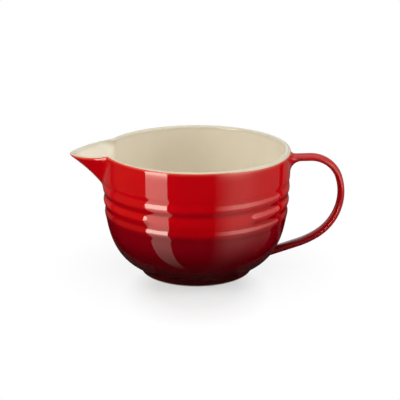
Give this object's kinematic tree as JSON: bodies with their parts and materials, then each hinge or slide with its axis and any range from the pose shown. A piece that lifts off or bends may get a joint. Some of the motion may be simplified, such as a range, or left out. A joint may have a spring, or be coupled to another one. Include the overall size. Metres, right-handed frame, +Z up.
{
  "type": "batter bowl",
  "caption": "Round glazed mixing bowl with ribbed sides, a pouring spout drawn out of the rim and a loop handle opposite it.",
  "frame": {"origin": "centre of the foot's resting face, on the bowl's axis", "axes": "+Z up along the bowl's axis, +X towards the handle with the spout along -X, -Y towards the side that the picture shows"},
  "size_m": [0.2783, 0.19, 0.1283],
  "materials": {
    "clay": "fired stoneware clay, bare only on the foot's resting face",
    "cream_glaze": "glossy cream glaze",
    "red_glaze": "glossy red glaze that darkens towards the foot",
    "dark_glaze": "thin dark glaze under the foot"
  },
  "bodies": {
    "root": {"bowl_body": "clay", "foot_ring": "clay", "pouring_spout": "clay", "handle": "clay", "inner_glaze": "cream_glaze", "outer_glaze": "red_glaze", "base_glaze": "dark_glaze", "spout_liner": "cream_glaze", "spout_glaze": "red_glaze", "handle_glaze": "red_glaze"}
  },
  "joints": []
}
